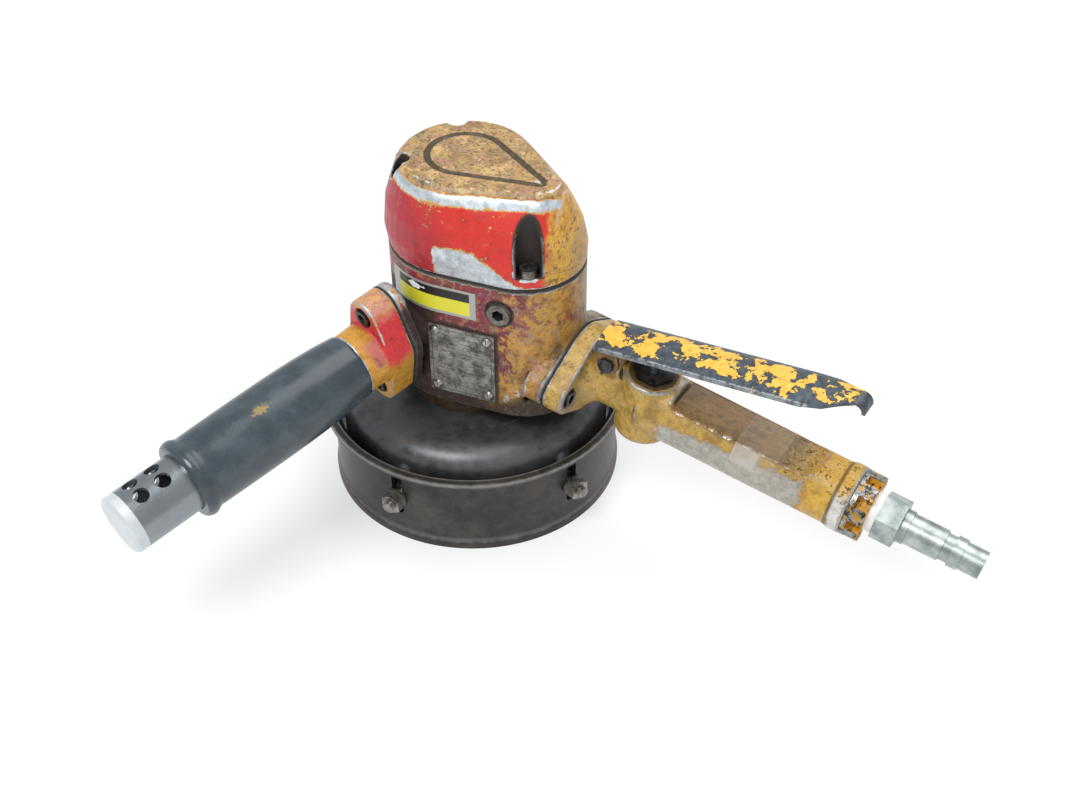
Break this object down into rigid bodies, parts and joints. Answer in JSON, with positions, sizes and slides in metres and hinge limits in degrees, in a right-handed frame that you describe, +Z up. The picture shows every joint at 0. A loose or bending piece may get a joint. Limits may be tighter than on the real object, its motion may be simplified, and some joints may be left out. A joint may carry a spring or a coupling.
{
  "type": "pneumatic vertical grinder",
  "caption": "Air-powered vertical grinder with a cast housing, an adjustable cup-wheel guard, a perforated exhaust handle and a lever-throttle handle with an air plug.",
  "frame": {"origin": "on the spindle's axis, on the face of the flange that the wheel seats against", "axes": "+Z up along the spindle, away from the wheel; +X to the right as seen from the handles' side, which faces -Y"},
  "size_m": [0.4463, 0.2782, 0.2096],
  "materials": {
    "red_paint": "worn glossy paint on cast aluminium",
    "yellow_paint": "chipped yellow paint on cast and pressed metal",
    "black_steel": "scuffed dark finish on pressed steel",
    "fastener_steel": "oiled and dulled",
    "machined_steel": "turned and ground",
    "bearing_steel": "polished",
    "spring_wire": "drawn wire",
    "zinc": "bright zinc plate",
    "aluminium": "brushed",
    "brass": "turned",
    "gasket_paper": "pressed fibre",
    "felt": "felt",
    "vane_plastic": "laminated resin",
    "rubber": "smooth with a dull shine",
    "label": "blank printed film",
    "white_tape": "thin film tape"
  },
  "bodies": {
    "body": {"motor_housing": "red_paint", "housing_cap": "red_paint", "cap_gasket": "gasket_paper", "cap_screws": "fastener_steel", "oil_plug": "fastener_steel", "nameplate": "aluminium", "nameplate_screws": "fastener_steel", "sticker": "label", "bearing_housing": "black_steel", "spindle_seal": "felt", "lower_bearing_outer": "bearing_steel", "bearing_retainer": "machined_steel", "lower_end_plate": "machined_steel", "cylinder_liner": "machined_steel", "cylinder_dowel": "bearing_steel", "upper_end_plate": "machined_steel", "upper_bearing_outer": "bearing_steel", "guard_dome": "black_steel", "guard_screws": "fastener_steel", "guard_bolts": "fastener_steel", "guard_spacers": "black_steel", "guard_washers": "fastener_steel", "guard_nuts": "fastener_steel", "dead_flange": "yellow_paint", "dead_gasket": "gasket_paper", "dead_screws": "fastener_steel", "exhaust_tube": "machined_steel", "dead_grip": "rubber", "exhaust_cap": "aluminium", "throttle_handle": "yellow_paint", "throttle_gasket": "gasket_paper", "throttle_screws": "fastener_steel", "lever_pin": "fastener_steel", "plunger_bushing": "machined_steel", "valve_seat": "brass", "valve_spring": "spring_wire", "valve_cap": "machined_steel", "inlet_bushing": "machined_steel", "air_plug": "zinc", "thread_tape": "white_tape", "grip_tape": "white_tape"},
    "spindle": {"spindle_rotor": "machined_steel", "rotor_vanes": "vane_plastic", "lower_bearing_inner": "bearing_steel", "upper_bearing_inner": "bearing_steel", "bearing_nut": "machined_steel", "governor_cage": "machined_steel", "governor_cover": "machined_steel", "governor_pins": "bearing_steel", "governor_spring": "spring_wire", "wheel_flange": "machined_steel"},
    "lower_balls": {"lower_bearing_balls": "bearing_steel"},
    "upper_balls": {"upper_bearing_balls": "bearing_steel"},
    "weight_a": {"governor_weight_a": "machined_steel"},
    "weight_b": {"governor_weight_b": "machined_steel"},
    "stem": {"governor_stem": "bearing_steel"},
    "skirt": {"guard_skirt": "black_steel"},
    "lever": {"throttle_lever": "yellow_paint"},
    "plunger": {"throttle_plunger": "bearing_steel"},
    "valve": {"throttle_valve": "bearing_steel"}
  },
  "joints": [
    {"name": "spindle_spin", "type": "hinge", "parent": "body", "child": "spindle", "pos_m": [0, 0, 0.05], "axis": [0, 0, 1], "continuous": true},
    {"name": "lower_balls_roll", "type": "hinge", "parent": "body", "child": "lower_balls", "pos_m": [0, 0, 0.03], "axis": [0, 0, 1], "continuous": true},
    {"name": "upper_balls_roll", "type": "hinge", "parent": "body", "child": "upper_balls", "pos_m": [0, 0, 0.1097], "axis": [0, 0, 1], "continuous": true},
    {"name": "weight_a_swing", "type": "hinge", "parent": "spindle", "child": "weight_a", "pos_m": [0.013, 0, 0.136], "axis": [0, 1, 0], "range_deg": [0, 8], "stiffness_Nm_per_rad": 0.2},
    {"name": "weight_b_swing", "type": "hinge", "parent": "spindle", "child": "weight_b", "pos_m": [-0.013, 0, 0.136], "axis": [0, -1, 0], "range_deg": [0, 8], "stiffness_Nm_per_rad": 0.2},
    {"name": "stem_lift", "type": "slide", "parent": "spindle", "child": "stem", "axis": [0, 0, 1], "range_m": [0, 0.00115], "deforming": ["governor_spring"]},
    {"name": "skirt_slide", "type": "slide", "parent": "body", "child": "skirt", "axis": [0, 0, 1], "range_m": [-0.008, 0.007]},
    {"name": "lever_press", "type": "hinge", "parent": "body", "child": "lever", "pos_m": [0.07813, -0.0547, 0.07879], "axis": [0.5736, 0.8192, 0], "range_deg": [0, 11], "stiffness_Nm_per_rad": 2},
    {"name": "plunger_push", "type": "slide", "parent": "body", "child": "plunger", "axis": [-0.114, 0.0798, -0.9903], "range_m": [0, 0.0046], "stiffness_N_per_m": 600},
    {"name": "valve_open", "type": "slide", "parent": "body", "child": "valve", "axis": [-0.114, 0.0798, -0.9903], "range_m": [0, 0.0046], "stiffness_N_per_m": 1500, "deforming": ["valve_spring"]}
  ],
  "couplings": [
    {"joint": "lower_balls_roll", "follows": "spindle_spin", "ratio": 0.381},
    {"joint": "upper_balls_roll", "follows": "spindle_spin", "ratio": 0.3659},
    {"joint": "weight_b_swing", "follows": "weight_a_swing", "ratio": 1},
    {"joint": "stem_lift", "follows": "weight_a_swing", "m_per_rad": 0.0075},
    {"joint": "plunger_push", "follows": "lever_press", "m_per_rad": 0.0234},
    {"joint": "valve_open", "follows": "lever_press", "m_per_rad": 0.0234}
  ]
}
